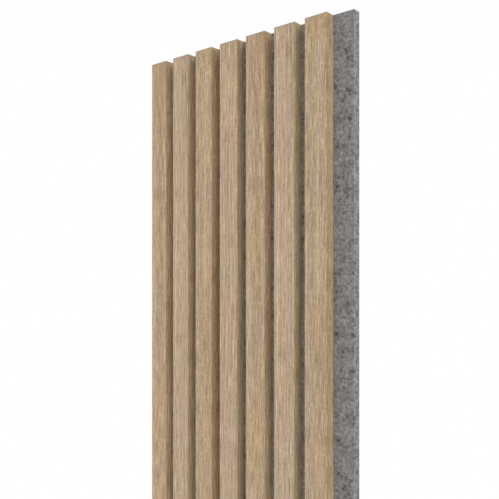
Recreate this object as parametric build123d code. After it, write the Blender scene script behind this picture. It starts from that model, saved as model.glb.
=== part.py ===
from build123d import *

import os
from math import ceil

# Acoustic wall panel: upright slats on a felt board, in millimetres.
# +Z is up and the slats face -Y. The felt's back face lies on y = 0, against the wall.
# The origin is at the middle of that face's bottom edge.

# Slats
slat_count = 7
slat_width = 27.0
slat_depth = 12.0
slat_gap = 13.0
veneer_thickness = 0.5  # also the outside radius of its folds, round the core's square front edges

# Felt board
panel_length = 2400.0
felt_thickness = 10.0
felt_lip = 24.5  # bare felt past the last slat

# Staples, driven from the back through the felt into the slat cores
staple_crown = 10.6  # length over the crown
staple_leg = 18.0  # from the crown's back face to the tips of the legs
staple_wire_width = 1.25
staple_wire_thickness = 0.9
staple_bend_radius = 0.5  # inside of the bends
staple_tip_length = 1.6  # slanted cut on each leg
staple_sink = 0.6  # depth of the crown below the felt's back face
staple_end_distance = 60.0  # middle of the first and last staple from the ends of the slat
staple_widest_spacing = 300.0

# Sizes and places that follow
slat_pitch = slat_width + slat_gap
felt_width = slat_count * slat_pitch - slat_gap + felt_lip
felt_left = -felt_width / 2
slat_centres = [felt_left + slat_width / 2 + i * slat_pitch for i in range(slat_count)]
core_width = slat_width - 2 * veneer_thickness
core_depth = slat_depth - veneer_thickness
staple_run = panel_length - 2 * staple_end_distance
staple_intervals = ceil(staple_run / staple_widest_spacing)
staple_spacing = staple_run / staple_intervals
staple_heights = [staple_end_distance + k * staple_spacing for k in range(staple_intervals + 1)]


def bar_section(width, depth):
    """Section of a slat or its core: back on y = 0, centred on x = 0."""
    return Rectangle(width, depth, align=(Align.CENTER, Align.MAX))


def slat_core(centre, staples):
    """Fibreboard bar, with the blind holes that its staples' legs fill."""
    section = bar_section(core_width, core_depth)
    return extrude(Pos(centre, -felt_thickness) * section, panel_length) - staples


def slat_veneer(centre):
    """Oak strip folded round the front and both sides of a core."""
    outside = bar_section(slat_width, slat_depth)
    folds = outside.vertices().group_by(Axis.Y)[0]
    outside = fillet(folds, veneer_thickness)
    inside = bar_section(core_width, core_depth)
    return extrude(Pos(centre, -felt_thickness) * (outside - inside), panel_length)


def staple():
    """Flat wire staple: crown along Z with its back face on y = 0, legs towards -Y."""
    outer = staple_crown / 2
    inner = outer - staple_wire_thickness
    upper_leg = [
        (0, outer),
        (-staple_leg, outer),
        (-staple_leg + staple_tip_length, inner),
        (-staple_wire_thickness, inner),
    ]
    lower_leg = [(along, -height) for along, height in reversed(upper_leg)]
    outline = Polygon(*upper_leg, *lower_leg, align=None)
    inside_corners = outline.vertices().group_by(Axis.X)[-2]
    outline = fillet(inside_corners, staple_bend_radius)
    outside_corners = outline.vertices().group_by(Axis.X)[-1]
    outline = fillet(outside_corners, staple_bend_radius + staple_wire_thickness)
    return extrude(Plane.YZ * outline, staple_wire_width / 2, both=True)


def crown_slot():
    """Slot that a crown leaves in the felt's back as it sinks in, open at y = 0."""
    return Box(
        staple_wire_width,
        staple_sink,
        staple_crown,
        align=(Align.CENTER, Align.MAX, Align.CENTER),
    )


def up_the_slat(shape, centre, back):
    """Copies of a shape at every staple's height on one slat, with their back faces at y = back."""
    return [Pos(centre, back, height) * shape for height in staple_heights]


def felt_backing(staples, slots):
    """Felt board, pierced by the staples, with a slot behind each sunk crown."""
    board = Box(
        felt_width,
        felt_thickness,
        panel_length,
        align=(Align.CENTER, Align.MAX, Align.MIN),
    )
    return board - staples - slots


def write(shape, node):
    export_step(shape, f"parts/{node}.step")


os.makedirs("parts", exist_ok=True)

one_staple = staple()
one_slot = crown_slot()
all_staples = []
all_slots = []
for number, centre in enumerate(slat_centres, start=1):
    own_staples = up_the_slat(one_staple, centre, -staple_sink)
    write(slat_core(centre, own_staples), f"slat_core_{number}")
    write(slat_veneer(centre), f"slat_veneer_{number}")
    all_staples += own_staples
    all_slots += up_the_slat(one_slot, centre, 0)
write(Compound(all_staples), "staples")
write(felt_backing(all_staples, all_slots), "felt_backing")
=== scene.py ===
import math
from collections import namedtuple

import bpy
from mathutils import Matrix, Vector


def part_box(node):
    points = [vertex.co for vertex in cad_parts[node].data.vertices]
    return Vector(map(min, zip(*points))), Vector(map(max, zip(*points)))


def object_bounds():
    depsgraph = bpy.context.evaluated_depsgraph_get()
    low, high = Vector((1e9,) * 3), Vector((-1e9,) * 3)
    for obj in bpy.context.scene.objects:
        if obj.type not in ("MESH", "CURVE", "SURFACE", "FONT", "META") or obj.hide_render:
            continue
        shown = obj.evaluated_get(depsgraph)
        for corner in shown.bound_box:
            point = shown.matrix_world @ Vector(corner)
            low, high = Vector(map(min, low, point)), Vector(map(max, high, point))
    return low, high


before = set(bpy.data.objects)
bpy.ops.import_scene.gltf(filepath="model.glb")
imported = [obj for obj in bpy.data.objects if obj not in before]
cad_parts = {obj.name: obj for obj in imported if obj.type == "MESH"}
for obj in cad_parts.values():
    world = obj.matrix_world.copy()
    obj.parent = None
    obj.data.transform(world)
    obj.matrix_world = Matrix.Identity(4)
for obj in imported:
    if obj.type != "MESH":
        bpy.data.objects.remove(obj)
cad_low, cad_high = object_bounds()

# Panel sizes, read from the frame, in metres
SLATS = range(1, 8)
PANEL_HEIGHT = cad_high.z
SLAT_FRONT = cad_low.y
FELT_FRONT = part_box("felt_backing")[0].y
FELT_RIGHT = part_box("felt_backing")[1].x
LAST_SLAT_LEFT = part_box("slat_veneer_7")[0].x

# Camera: level, to the front right of the panel, a little below its top end
CAMERA_PLACE = (0.44677, -0.52582, 2.16136)
CAMERA_TURN = math.radians(40.284)
CAMERA_LENS_MM = 42.78
CAMERA_SENSOR_MM = 36.0

# Light
ROOM_LIGHT = 0.87
KEY_STRENGTH = 0.85
KEY_SPREAD = math.radians(35)
KEY_FROM_FRONT = math.radians(67)
KEY_HEIGHT = math.radians(25)
KEY_PLACE = (2, -1, 3)
FLOOR_SIZE = 6.0
FLOOR_SEEN = (0.96, 0.96, 0.96, 1)
FLOOR_BOUNCE = (0.6, 0.6, 0.6, 1)
WHITE = (1, 1, 1, 1)

# A pattern of noise: features to the metre along each of its three places, octaves of detail and their
# roughness, how strongly it lightens or darkens a finish, and what is added to the seed that keeps
# patterns apart
Pattern = namedtuple("Pattern", "scales detail roughness tone shift", defaults=(0.5, 1.0, 0))

# Sockets of the shader that a finish sets to one value
SHADER_SOCKETS = {"roughness": "Roughness", "specular": "Specular IOR Level", "metallic": "Metallic"}

# Oak veneer. Its patterns' places are across the sheet or ring, up the slat, and the seed. Tones above
# zero are paler. Pairs are the values at which an effect starts and is full, in metres where they are
# places on the slat.
SWAY = Pattern((8.0, 2.5, 1.0), detail=1.0)
SWAY_REACH = 0.012
TAPER = Pattern((1.3, 1.0, 1.0), detail=1.0)
TAPER_REACH = 0.12
RINGS = Pattern((300.0, 3.5, 1.0), detail=2.0, roughness=0.7, tone=0.3)
RING_WIDTH = 0.0042
RING_WAVER = 14.0
FIBRES = Pattern((620.0, 10.0, 1.0), detail=0.0, tone=0.6, shift=2)
DASHES = Pattern((690.0, 50.0, 1.0), detail=0.0, tone=1.45, shift=1)
DASH_RELIEF = 0.6
FLECKS = Pattern((620.0, 190.0, 1.0), detail=1.0, roughness=0.6)
GLINTS = (0.08, 0.28)
PORES = Pattern((1000.0, 420.0, 1.0), detail=1.0, tone=0.75, shift=10)
DRIFT = Pattern((90.0, 5.0, 1.0), detail=1.0, tone=0.4, shift=3)
# Painted shade on the slats' sides from the front folds back, and painted light that grows deeper into
# the sides
SIDE_SHADE_DEPTHS = (0.0001, 0.0006)
SIDE_SHADE_PLACES = (0.0127, 0.0133)
PAINTED_SIDE_SHADE = -0.22
SIDE_LIGHT_DEPTHS = (0.001, 0.010)
PAINTED_SIDE_LIGHT = 0.38
# The oak is darker over the last 55 mm towards both ends
DARK_END_REACH = (0.055, 0.005)
DARK_END_TONE = -0.12
OAK_RANGE = (-1.13, 0.67)
OAK_CURVE = 1.5
OAK_DARK = (0.270, 0.178, 0.098, 1)
OAK_LIGHT = (0.708, 0.527, 0.352, 1)
HUE = Pattern((200.0, 7.0, 1.0), detail=1.0, shift=5)
COOL_TINT = (0.95, 1.0, 1.08, 1)
WARM_TINT = (1.05, 0.995, 0.9, 1)
BLUSH = Pattern((130.0, 12.0, 1.0), detail=1.0, shift=6)
GREEN_TINT = (0.985, 1.02, 0.985, 1)
ROSE_TINT = (1.015, 0.98, 1.01, 1)
TINT_RANGE = (-0.25, 0.25)
EDGE_PLACES = (0.0120, 0.0145)
# Darker oak within about a millimetre of the ends
END_LINE_REACH = (0.0012, 0.0002)
END_LINE_SHARE = 0.45
END_LINE_OAK = (0.16, 0.115, 0.075, 1)

# Felt. Its patterns' places are x, y and z on the board, but for the fraying, which is on the cut side.
MOTTLE = Pattern((295.0, 295.0, 295.0), detail=2.0, roughness=0.6, tone=1.35)
MOTTLE_RELIEF = 0.8
CLOUDS = Pattern((70.0, 300.0, 70.0), detail=2.0, roughness=0.6, tone=0.65)
LOOSE_FIBRES = Pattern((1000.0, 1000.0, 1000.0), detail=1.0, tone=0.75)
LOOSE_FIBRE_RELIEF = 0.5
CUT_SIDE = (FELT_RIGHT - 0.0001, FELT_RIGHT - 0.00005)
CUT_TONE = -0.075
FRAYING = Pattern((130.0, 330.0, 1.0), detail=2.0, tone=0.9)
FRAYING_SEED = 5.0
CUT_EDGE_DEPTHS = (0.009, 0.0)
CUT_EDGE_TONE = 0.10
# The felt is paler over the last 1.8 mm of its front towards the right-hand side, and on that side
PALE_CORNER_PLACES = (FELT_RIGHT - 0.0018, FELT_RIGHT)
PALE_CORNER_TONE = 0.06
FELT_RANGE = (-0.385, 0.415)
FELT_DARK = (0.105, 0.103, 0.101, 1)
FELT_PALE = (0.385, 0.38, 0.377, 1)
SPECKS_TO_THE_METRE = 178.0
SPECK_REACH = 0.54
SPECK_RELIEF = -0.08
SPECK_CLUSTERS = (0.03, -0.13)
SPECK_SHARE_IN_CLUSTERS = 0.82
SPECK_SHARE = 0.06
SPECK_GREY = (0.065, 0.064, 0.063, 1)
# Felt between the slats is tinted a little warmer
WARM_FELT_PLACES = (LAST_SLAT_LEFT + 0.002, LAST_SLAT_LEFT)
WARM_FELT_TINT = (1.06, 0.99, 0.91, 1)

# Sawn fibreboard
BOARD_FIBRES = Pattern((1600.0, 1600.0, 1600.0), detail=3.0, roughness=0.65)
BOARD_LAYERS = Pattern((60.0, 500.0, 60.0), detail=2.0, tone=0.6)
BOARD_RANGE = (-0.35, 0.35)
BOARD_DARK = (0.23, 0.14, 0.07, 1)
BOARD_PALE = (0.5, 0.36, 0.21, 1)

# Staple wire
DRAW_LINES = Pattern((9000.0, 9000.0, 150.0), detail=2.0)
ZINC_BLOTCHES = Pattern((700.0, 700.0, 700.0), detail=2.0)
ZINC_RANGE = (-0.4, 0.4)
ZINC_DARK = (0.42, 0.42, 0.42, 1)
ZINC_PALE = (0.68, 0.69, 0.7, 1)

# Leaves of veneer. Slats cut from the same leaf have the same figure.
# - seed and fineness: the leaf's own grain, and how much finer its lines are than the plain ones
# - fleck_tone, glint_tone and ring_tone: how strongly the flecks, the glints and the ring lines show
# - pith_offset and pith_depth: place of the tree's pith beside and behind the sheet, in metres
# - shade and edge_shade: tints of the whole leaf, and of its right-hand fold and side
# - streaks: place across the leaf, width, height and length in metres, and tone
LEAVES = {
    "a": {
        "seed": 11.0,
        "fineness": 1.15,
        "fleck_tone": 1.2,
        "glint_tone": 0.05,
        "ring_tone": 0.1,
        "pith_offset": 0.004,
        "pith_depth": 0.014,
        "shade": (0.985, 0.97, 0.95, 1),
        "edge_shade": (1.03, 1.07, 1.07, 1),
        "streaks": [
            (-0.0095, 0.012, 2.08, 0.75, 0.26),
            (0.0030, 0.014, 2.26, 0.60, -0.22),
            (0.0080, 0.014, 2.42, 0.20, -0.22),
            (0.0110, 0.005, 2.15, 0.30, 0.10),
        ],
    },
    "b": {
        "seed": 23.0,
        "fineness": 1.22,
        "fleck_tone": 1.0,
        "glint_tone": 0.05,
        "ring_tone": 0.14,
        "pith_offset": 0.060,
        "pith_depth": 0.030,
        "shade": (1.035, 1.06, 1.10, 1),
        "edge_shade": (0.94, 0.975, 0.96, 1),
        "streaks": [
            (-0.0082, 0.008, 2.16, 0.55, 0.24),
            (0.0105, 0.009, 2.38, 0.30, -0.20),
            (0.0045, 0.007, 1.97, 0.20, -0.18),
        ],
    },
    "c": {
        "seed": 37.0,
        "fineness": 1.12,
        "fleck_tone": 0.85,
        "glint_tone": 0.45,
        "ring_tone": 0.03,
        "pith_offset": -0.003,
        "pith_depth": 0.015,
        "shade": (0.97, 0.965, 0.945, 1),
        "edge_shade": (0.98, 0.945, 0.91, 1),
        "streaks": [
            (0.0030, 0.0075, 2.22, 0.42, 0.32),
            (-0.0108, 0.003, 2.10, 1.00, 0.20),
            (-0.0058, 0.013, 2.11, 0.38, -0.16),
            (0.0090, 0.012, 1.99, 0.32, -0.14),
        ],
    },
    "d": {
        "seed": 41.0,
        "fineness": 1.25,
        "fleck_tone": 1.05,
        "glint_tone": 0.05,
        "ring_tone": 0.16,
        "pith_offset": -0.070,
        "pith_depth": 0.040,
        "shade": (1.02, 1.04, 1.06, 1),
        "edge_shade": (0.9, 0.92, 0.93, 1),
        "streaks": [
            (-0.0015, 0.006, 2.19, 0.30, -0.12),
            (0.0095, 0.006, 2.29, 0.35, 0.12),
            (0.0115, 0.006, 2.03, 0.30, -0.12),
            (-0.0100, 0.006, 2.08, 0.30, 0.10),
        ],
    },
}
LEAF_OF_SLAT = {1: "a", 2: "b", 3: "c", 4: "d", 5: "a", 6: "b", 7: "c"}


def add_node(tree, kind, sockets=None, **settings):
    """Adds a node. Each socket gets a value, or a link if it is given another node's output."""
    node = tree.nodes.new(kind)
    for name, value in settings.items():
        setattr(node, name, value)
    for name, value in (sockets or {}).items():
        if isinstance(value, bpy.types.NodeSocket):
            tree.links.new(value, node.inputs[name])
        else:
            node.inputs[name].default_value = value
    return node


def maths(tree, operation, *values):
    return add_node(tree, "ShaderNodeMath", dict(enumerate(values)), operation=operation).outputs[0]


def summed(tree, *values):
    total = values[0]
    for value in values[1:]:
        total = maths(tree, "ADD", total, value)
    return total


def share(tree, value, weight):
    return maths(tree, "MULTIPLY", value, weight)


def ranged(tree, value, low, high):
    """Value mapped to 0 at low and 1 at high."""
    sockets = {"Value": value, "From Min": low, "From Max": high}
    return add_node(tree, "ShaderNodeMapRange", sockets).outputs[0]


def joined(tree, places):
    """Vector of up to three places."""
    return add_node(tree, "ShaderNodeCombineXYZ", dict(enumerate(places))).outputs[0]


def noise(tree, places, pattern, fineness=1.0):
    """A pattern's noise about zero. The fineness makes it finer along its first place."""
    scales = (pattern.scales[0] * fineness, *pattern.scales[1:])
    sockets = {
        "Vector": joined(tree, [share(tree, place, scale) for place, scale in zip(places, scales)]),
        "Scale": 1.0,
        "Detail": pattern.detail,
        "Roughness": pattern.roughness,
    }
    texture = add_node(tree, "ShaderNodeTexNoise", sockets)
    return maths(tree, "SUBTRACT", texture.outputs[0], 0.5)


def round_specks(tree, places, scale, reach):
    """Soft round specks: 1 at their middles, and 0 at a reach given in shares of their spacing."""
    sockets = {"Vector": joined(tree, places), "Scale": scale}
    texture = add_node(tree, "ShaderNodeTexVoronoi", sockets)
    return ranged(tree, texture.outputs["Distance"], reach, reach / 4)


def mix_colours(tree, factor, first, second, blend="MIX"):
    """Mix of two colours, by a factor from 0 to 1. Each of the three is a value or a link."""
    node = tree.nodes.new("ShaderNodeMix")
    node.data_type = "RGBA"
    node.blend_type = blend
    for socket, value in ((node.inputs[0], factor), (node.inputs[6], first), (node.inputs[7], second)):
        if isinstance(value, bpy.types.NodeSocket):
            tree.links.new(value, socket)
        else:
            socket.default_value = value
    return node.outputs[2]


def tinted(tree, colour, tint):
    return mix_colours(tree, 1.0, colour, tint, blend="MULTIPLY")


def new_material(name):
    material = bpy.data.materials.new(name)
    material.use_nodes = True
    material.node_tree.nodes.clear()
    return material, material.node_tree


def place_on_piece(tree):
    """The x, y and z of a point of the piece, in metres."""
    place = add_node(tree, "ShaderNodeTexCoord").outputs["Object"]
    return add_node(tree, "ShaderNodeSeparateXYZ", {0: place}).outputs


def finish_surface(tree, colour, relief, relief_strength, relief_height, **finish):
    """Ends a material with its shader: the relief, the colour and the finish's own values."""
    sockets = {"Height": relief, "Strength": relief_strength, "Distance": relief_height}
    bump = add_node(tree, "ShaderNodeBump", sockets)
    sockets = {"Base Color": colour, "Normal": bump.outputs[0]}
    for name, value in finish.items():
        sockets[SHADER_SOCKETS[name]] = value
    shader = add_node(tree, "ShaderNodeBsdfPrincipled", sockets)
    add_node(tree, "ShaderNodeOutputMaterial", {"Surface": shader.outputs[0]})


def streak(tree, sheet, z, across, width, height, length):
    """A soft streak in the sheet: 1 along its middle, fading out at its sides and its ends."""
    beside = maths(tree, "ABSOLUTE", maths(tree, "SUBTRACT", sheet, across))
    beyond = maths(tree, "ABSOLUTE", maths(tree, "SUBTRACT", z, height))
    fade = [
        add_node(
            tree,
            "ShaderNodeMapRange",
            {"Value": gap, "From Max": reach, "To Min": 1.0, "To Max": 0.0},
            interpolation_type="SMOOTHSTEP",
        ).outputs[0]
        for gap, reach in ((beside, width / 2), (beyond, length / 2))
    ]
    return maths(tree, "MULTIPLY", *fade)


def ring_radius(tree, sheet, z, leaf):
    """Radius of the growth ring that each point of the sheet lies on."""
    sway = noise(tree, (sheet, z, leaf["seed"]), SWAY)
    taper = noise(tree, (z, leaf["seed"], 0.0), TAPER)
    beside_pith = summed(tree, sheet, leaf["pith_offset"], share(tree, sway, SWAY_REACH))
    before_pith = summed(tree, share(tree, taper, TAPER_REACH), leaf["pith_depth"])
    squares = [maths(tree, "POWER", away, 2.0) for away in (beside_pith, before_pith)]
    return maths(tree, "SQRT", summed(tree, *squares))


def painted_side_shade_and_dark_ends(tree, across, depth, from_end):
    """Painted shade on the sides from their front folds back, painted light deeper in the sides, and
    darker ends. The sides are darkest behind the folds.
    """
    painted_shade_mask = maths(
        tree,
        "MAXIMUM",
        ranged(tree, depth, *SIDE_SHADE_DEPTHS),
        ranged(tree, across, *SIDE_SHADE_PLACES),
    )
    return (
        share(tree, painted_shade_mask, PAINTED_SIDE_SHADE),
        share(tree, ranged(tree, depth, *SIDE_LIGHT_DEPTHS), PAINTED_SIDE_LIGHT),
        share(tree, ranged(tree, from_end, *DARK_END_REACH), DARK_END_TONE),
    )


def oak_veneer(number, leaf):
    """Sliced oak: growth rings cut by the sheet, short and long lines, pores and cross figure."""
    material, tree = new_material(f"oak_veneer_{number}")
    x, y, z = place_on_piece(tree)
    low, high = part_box(f"slat_veneer_{number}")
    across = maths(tree, "SUBTRACT", x, (low.x + high.x) / 2)
    depth = maths(tree, "SUBTRACT", y, SLAT_FRONT)
    from_end = maths(tree, "MINIMUM", maths(tree, "SUBTRACT", PANEL_HEIGHT, z), z)
    # Distance across the sheet before it was folded round the core
    sheet = summed(tree, across, maths(tree, "MULTIPLY", maths(tree, "SIGN", across), depth))
    radius = ring_radius(tree, sheet, z, leaf)

    def grain(pattern, place=sheet, seed=leaf["seed"], fineness=1.0):
        return noise(tree, (place, z, seed + pattern.shift), pattern, fineness)

    dashes = grain(DASHES, fineness=leaf["fineness"])
    flecks = grain(FLECKS, seed=number, fineness=leaf["fineness"])
    pores = grain(PORES, seed=number)
    drift = grain(DRIFT)
    ring_phase = summed(tree, share(tree, radius, math.tau / RING_WIDTH), share(tree, drift, RING_WAVER))
    tone = summed(
        tree,
        share(tree, grain(RINGS, place=radius), RINGS.tone),
        share(tree, grain(FIBRES, fineness=leaf["fineness"]), FIBRES.tone),
        share(tree, dashes, DASHES.tone),
        share(tree, flecks, leaf["fleck_tone"]),
        share(tree, ranged(tree, flecks, *GLINTS), leaf["glint_tone"]),
        share(tree, pores, PORES.tone),
        share(tree, drift, DRIFT.tone),
        share(tree, maths(tree, "SINE", ring_phase), leaf["ring_tone"]),
        *painted_side_shade_and_dark_ends(tree, across, depth, from_end),
        *[share(tree, streak(tree, sheet, z, *spot), spot_tone) for *spot, spot_tone in leaf["streaks"]],
    )
    level = maths(tree, "POWER", ranged(tree, tone, *OAK_RANGE), OAK_CURVE)
    colour = mix_colours(tree, level, OAK_DARK, OAK_LIGHT)
    hue = ranged(tree, grain(HUE, place=radius), *TINT_RANGE)
    blush = ranged(tree, grain(BLUSH), *TINT_RANGE)
    at_edge = ranged(tree, sheet, *EDGE_PLACES)
    colour = tinted(tree, colour, mix_colours(tree, hue, COOL_TINT, WARM_TINT))
    colour = tinted(tree, colour, mix_colours(tree, blush, GREEN_TINT, ROSE_TINT))
    colour = tinted(tree, colour, mix_colours(tree, at_edge, WHITE, leaf["edge_shade"]))
    colour = tinted(tree, colour, leaf["shade"])
    # The oak is a little darker within about a millimetre of its ends
    end_line = share(tree, ranged(tree, from_end, *END_LINE_REACH), END_LINE_SHARE)
    colour = mix_colours(tree, end_line, colour, END_LINE_OAK)
    relief = summed(tree, pores, share(tree, dashes, DASH_RELIEF))
    finish_surface(
        tree,
        colour,
        relief,
        relief_strength=0.35,
        relief_height=0.0004,
        roughness=0.62,
        specular=0.3,
    )
    return material


def cut_side(tree, x, y, z):
    """Tones of the felt's right-hand side: the knife left it rougher, and it is palest at its front
    edge.
    """
    cut = ranged(tree, x, *CUT_SIDE)
    fraying = noise(tree, (y, z, FRAYING_SEED), FRAYING)
    front_edge = ranged(tree, maths(tree, "SUBTRACT", y, FELT_FRONT), *CUT_EDGE_DEPTHS)
    cut_tone = summed(
        tree,
        share(tree, fraying, FRAYING.tone),
        share(tree, front_edge, CUT_EDGE_TONE),
        CUT_TONE,
    )
    # Paler towards and on the right-hand side
    pale_corner = share(tree, ranged(tree, x, *PALE_CORNER_PLACES), PALE_CORNER_TONE)
    return maths(tree, "MULTIPLY", cut, cut_tone), pale_corner


def felt():
    """Pressed felt of dark and pale polyester fibres, with clusters of dark specks."""
    material, tree = new_material("pressed_felt")
    x, y, z = place_on_piece(tree)
    places = (x, y, z)
    mottle, clouds, fibres = [noise(tree, places, pattern) for pattern in (MOTTLE, CLOUDS, LOOSE_FIBRES)]
    specks = round_specks(tree, places, SPECKS_TO_THE_METRE, SPECK_REACH)
    tone = summed(
        tree,
        share(tree, mottle, MOTTLE.tone),
        share(tree, clouds, CLOUDS.tone),
        share(tree, fibres, LOOSE_FIBRES.tone),
        *cut_side(tree, x, y, z),
    )
    grey = mix_colours(tree, ranged(tree, tone, *FELT_RANGE), FELT_DARK, FELT_PALE)
    clustered = ranged(tree, clouds, *SPECK_CLUSTERS)
    speck_share = summed(tree, share(tree, clustered, SPECK_SHARE_IN_CLUSTERS), SPECK_SHARE)
    grey = mix_colours(tree, maths(tree, "MULTIPLY", specks, speck_share), grey, SPECK_GREY)
    # The felt is tinted a little warmer between the slats
    warm_felt_mask = ranged(tree, x, *WARM_FELT_PLACES)
    colour = tinted(tree, grey, mix_colours(tree, warm_felt_mask, WHITE, WARM_FELT_TINT))
    relief = summed(
        tree,
        share(tree, mottle, MOTTLE_RELIEF),
        share(tree, fibres, LOOSE_FIBRE_RELIEF),
        share(tree, specks, SPECK_RELIEF),
    )
    finish_surface(
        tree,
        colour,
        relief,
        relief_strength=0.5,
        relief_height=0.0008,
        roughness=0.95,
        specular=0.1,
    )
    return material


def fibreboard():
    """Sawn fibreboard: fine pale and brown fibres, as it shows on the ends of the slats."""
    material, tree = new_material("sawn_fibreboard")
    places = place_on_piece(tree)
    fibres = noise(tree, places, BOARD_FIBRES)
    layers = noise(tree, places, BOARD_LAYERS)
    tone = summed(tree, fibres, share(tree, layers, BOARD_LAYERS.tone))
    colour = mix_colours(tree, ranged(tree, tone, *BOARD_RANGE), BOARD_DARK, BOARD_PALE)
    finish_surface(
        tree,
        colour,
        fibres,
        relief_strength=0.5,
        relief_height=0.0003,
        roughness=0.9,
        specular=0.2,
    )
    return material


def staple_wire():
    """Galvanised flat wire, with fine draw lines along the crown."""
    material, tree = new_material("staple_wire")
    places = place_on_piece(tree)
    draw_lines = noise(tree, places, DRAW_LINES)
    blotches = noise(tree, places, ZINC_BLOTCHES)
    level = ranged(tree, summed(tree, draw_lines, blotches), *ZINC_RANGE)
    colour = mix_colours(tree, level, ZINC_DARK, ZINC_PALE)
    finish_surface(
        tree,
        colour,
        draw_lines,
        relief_strength=0.2,
        relief_height=0.0001,
        metallic=1.0,
        roughness=0.38,
    )
    return material


def wear(node, material):
    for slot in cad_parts[node].material_slots:
        slot.material = material


def finish_pieces():
    board = fibreboard()
    for number in SLATS:
        wear(f"slat_veneer_{number}", oak_veneer(number, LEAVES[LEAF_OF_SLAT[number]]))
        wear(f"slat_core_{number}", board)
    wear("felt_backing", felt())
    wear("staples", staple_wire())


def lay_floor():
    """Pale floor. It shows near white to the camera, and throws less light back on the panel."""
    bpy.ops.object.select_all(action="DESELECT")
    bpy.ops.mesh.primitive_plane_add(size=FLOOR_SIZE, location=(0, 0, 0))
    floor = bpy.context.object
    floor.name = "floor"
    material, tree = new_material("pale_floor")
    seen = add_node(tree, "ShaderNodeLightPath").outputs["Is Camera Ray"]
    colour = mix_colours(tree, seen, FLOOR_BOUNCE, FLOOR_SEEN)
    shader = add_node(tree, "ShaderNodeBsdfDiffuse", {"Color": colour})
    add_node(tree, "ShaderNodeOutputMaterial", {"Surface": shader.outputs[0]})
    floor.data.materials.append(material)


def light_room():
    """Even white room, seen as white, and a wide soft lamp from the front right."""
    world = bpy.data.worlds.new("white_room")
    bpy.context.scene.world = world
    world.use_nodes = True
    tree = world.node_tree
    tree.nodes.clear()
    path = add_node(tree, "ShaderNodeLightPath").outputs
    seen = maths(tree, "MAXIMUM", path["Is Camera Ray"], path["Is Glossy Ray"])
    seen = maths(tree, "MAXIMUM", seen, path["Is Transmission Ray"])
    sockets = {"Value": seen, "To Min": ROOM_LIGHT, "To Max": 1.0}
    strength = add_node(tree, "ShaderNodeMapRange", sockets).outputs[0]
    sky = add_node(tree, "ShaderNodeBackground", {"Color": WHITE, "Strength": strength})
    add_node(tree, "ShaderNodeOutputWorld", {"Surface": sky.outputs[0]})
    bpy.ops.object.light_add(type="SUN", location=KEY_PLACE)
    key = bpy.context.object
    key.name = "key_light"
    key.data.energy = KEY_STRENGTH
    key.data.angle = KEY_SPREAD
    key.rotation_euler = (math.pi / 2 - KEY_HEIGHT, 0, KEY_FROM_FRONT)


def place_camera():
    bpy.ops.object.camera_add(location=CAMERA_PLACE, rotation=(math.pi / 2, 0, CAMERA_TURN))
    camera = bpy.context.object
    camera.data.lens = CAMERA_LENS_MM
    camera.data.sensor_width = CAMERA_SENSOR_MM
    bpy.context.scene.camera = camera


finish_pieces()
lay_floor()
light_room()
place_camera()
bpy.context.scene.view_settings.view_transform = "Standard"
